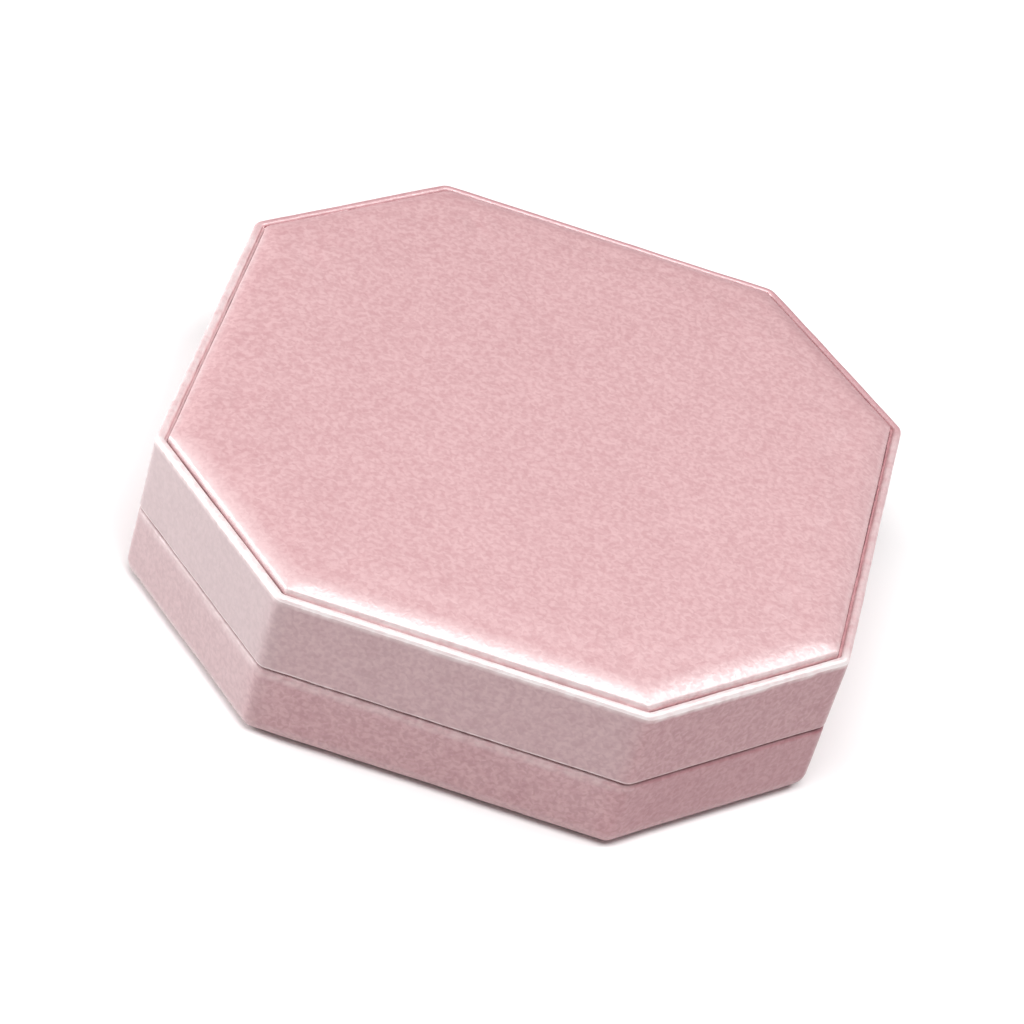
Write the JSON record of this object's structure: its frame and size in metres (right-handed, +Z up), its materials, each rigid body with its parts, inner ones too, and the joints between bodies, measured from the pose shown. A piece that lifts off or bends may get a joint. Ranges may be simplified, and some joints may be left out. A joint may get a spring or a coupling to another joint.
{
  "type": "jewelry box",
  "caption": "Closed octagonal velvet jewelry box with a padded top panel, a back-hinged lid, a satin lid lining and a padded insert for a necklace, earrings and rings.",
  "frame": {"origin": "middle of the underside", "axes": "+Z up, +X along the front edge, +Y from the front wall to the hinges at the back"},
  "size_m": [0.19, 0.195, 0.0508],
  "materials": {
    "outer_velvet": "matte",
    "lining_velvet": "matte",
    "satin": "satin",
    "felt": "matte",
    "foam": "matte",
    "moulding": "satin",
    "greyboard": "matte",
    "brass": "polished",
    "magnet": "polished"
  },
  "bodies": {
    "base": {"base_shell": "moulding", "base_cover": "outer_velvet", "base_floor_sheet": "felt", "base_side_lining": "lining_velvet", "insert_board": "greyboard", "insert_foam": "foam", "insert_cover": "lining_velvet", "ring_rolls": "lining_velvet", "necklace_hooks": "brass", "base_magnets": "magnet", "hinge_base_leaves": "brass", "hinge_base_rivets": "brass", "hinge_pins": "brass"},
    "lid": {"lid_shell": "moulding", "lid_cover": "outer_velvet", "top_panel_board": "greyboard", "top_panel_foam": "foam", "top_panel_cover": "outer_velvet", "lid_side_lining": "lining_velvet", "lid_pad_board": "greyboard", "lid_pad_foam": "foam", "lid_pad_cover": "satin", "lid_magnets": "magnet", "hinge_lid_leaves": "brass", "hinge_lid_rivets": "brass"}
  },
  "joints": [
    {"name": "lid_hinge", "type": "hinge", "parent": "base", "child": "lid", "pos_m": [0, 0.0958, 0.023], "axis": [-1, 0, 0], "range_deg": [0, 100]}
  ]
}
